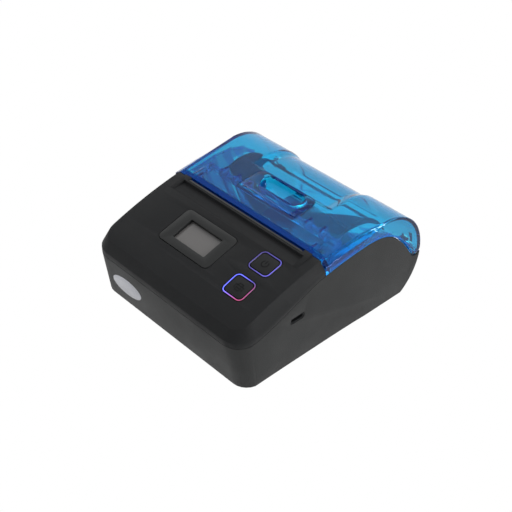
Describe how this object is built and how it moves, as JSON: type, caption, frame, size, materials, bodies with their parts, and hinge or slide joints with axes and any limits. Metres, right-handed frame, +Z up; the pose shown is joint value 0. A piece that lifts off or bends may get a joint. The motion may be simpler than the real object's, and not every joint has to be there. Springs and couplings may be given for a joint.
{
  "type": "portable receipt printer",
  "caption": "Portable receipt printer: sloped panel with display window and lit keys, see-through hinged cover with latch lever over a paper bucket, driven platen and sprung thermal head.",
  "frame": {"origin": "under the middle of the case, on the surface it stands on", "axes": "+X to the printer's right, +Y to its back where the cover hinges, +Z up"},
  "size_m": [0.112, 0.1276, 0.0543],
  "materials": {
    "black_plastic": "fine matt spark texture",
    "dark_plastic": "matt, inner parts",
    "clear_blue_plastic": "polished, see-through blue",
    "steel": "plated",
    "black_rubber": "matt",
    "white_plastic": "natural acetal",
    "circuit_board": "solder mask",
    "satin_window": "satin",
    "display_glass": "display switched off",
    "light_ring": "milky, lit from below",
    "key_plastic": "satin",
    "dark_steel": "blackened",
    "head_ceramic": "glazed ceramic",
    "aluminium": "plain"
  },
  "bodies": {
    "base": {"lower_case": "black_plastic", "top_case": "black_plastic", "display_frame": "satin_window", "display_glass": "display_glass", "display_board": "circuit_board", "power_light_ring": "light_ring", "feed_light_ring": "light_ring", "key_board": "circuit_board", "power_switch": "white_plastic", "feed_switch": "white_plastic", "main_board": "circuit_board", "usb_port": "steel", "paper_bucket": "dark_plastic", "mech_frame": "dark_steel", "feed_motor": "steel", "tear_bar": "dark_steel", "paper_sensor": "dark_plastic", "head_spring": "steel", "battery_contacts": "dark_plastic", "hinge_pin_left": "steel", "hinge_pin_right": "steel", "foot_1": "black_rubber", "foot_2": "black_rubber", "foot_3": "black_rubber", "foot_4": "black_rubber", "case_screw_1": "steel", "case_screw_2": "steel", "case_screw_3": "steel", "case_screw_4": "steel"},
    "cover": {"cover_shell": "clear_blue_plastic", "platen_bush_left": "white_plastic", "platen_bush_right": "white_plastic"},
    "lever": {"latch_lever": "clear_blue_plastic"},
    "platen": {"platen_shaft": "steel", "platen_rubber": "black_rubber", "platen_gear": "white_plastic"},
    "idler": {"idler_gear": "white_plastic"},
    "motor_shaft": {"motor_pinion": "white_plastic"},
    "head": {"thermal_head": "head_ceramic", "heatsink": "aluminium"},
    "power_button": {"power_key": "key_plastic"},
    "feed_button": {"feed_key": "key_plastic"},
    "battery": {"battery_pack": "dark_plastic"}
  },
  "joints": [
    {"name": "cover_hinge", "type": "hinge", "parent": "base", "child": "cover", "pos_m": [0, 0.0604, 0.025], "axis": [-1, 0, 0], "range_deg": [0, 80]},
    {"name": "lever_pivot", "type": "hinge", "parent": "cover", "child": "lever", "pos_m": [0, 0.0099, 0.04843], "axis": [1, 0, 0], "range_deg": [0, 12], "stiffness_Nm_per_rad": 0.12, "springref_deg": -8.59},
    {"name": "platen_spin", "type": "hinge", "parent": "cover", "child": "platen", "pos_m": [0, -0.0036, 0.045], "axis": [1, 0, 0], "continuous": true},
    {"name": "idler_spin", "type": "hinge", "parent": "base", "child": "idler", "pos_m": [0, -0.00663, 0.0353], "axis": [1, 0, 0], "continuous": true},
    {"name": "motor_spin", "type": "hinge", "parent": "base", "child": "motor_shaft", "pos_m": [0, -0.00663, 0.02614], "axis": [1, 0, 0], "continuous": true},
    {"name": "head_pivot", "type": "hinge", "parent": "base", "child": "head", "pos_m": [0, -0.0107, 0.0378], "axis": [1, 0, 0], "range_deg": [0, 2], "stiffness_Nm_per_rad": 0.5, "springref_deg": -11.46},
    {"name": "power_press", "type": "slide", "parent": "base", "child": "power_button", "axis": [0, 0.2452, -0.9695], "range_m": [0, 0.0006], "stiffness_N_per_m": 500, "springref_m": -0.0006},
    {"name": "feed_press", "type": "slide", "parent": "base", "child": "feed_button", "axis": [0, 0.317, -0.9484], "range_m": [0, 0.0006], "stiffness_N_per_m": 500, "springref_m": -0.0006},
    {"name": "battery_slide", "type": "slide", "parent": "base", "child": "battery", "axis": [0, 0, -1], "range_m": [0, 0.02]}
  ],
  "couplings": [
    {"joint": "idler_spin", "follows": "platen_spin", "ratio": -0.66667},
    {"joint": "motor_spin", "follows": "platen_spin", "ratio": 1.3333}
  ]
}
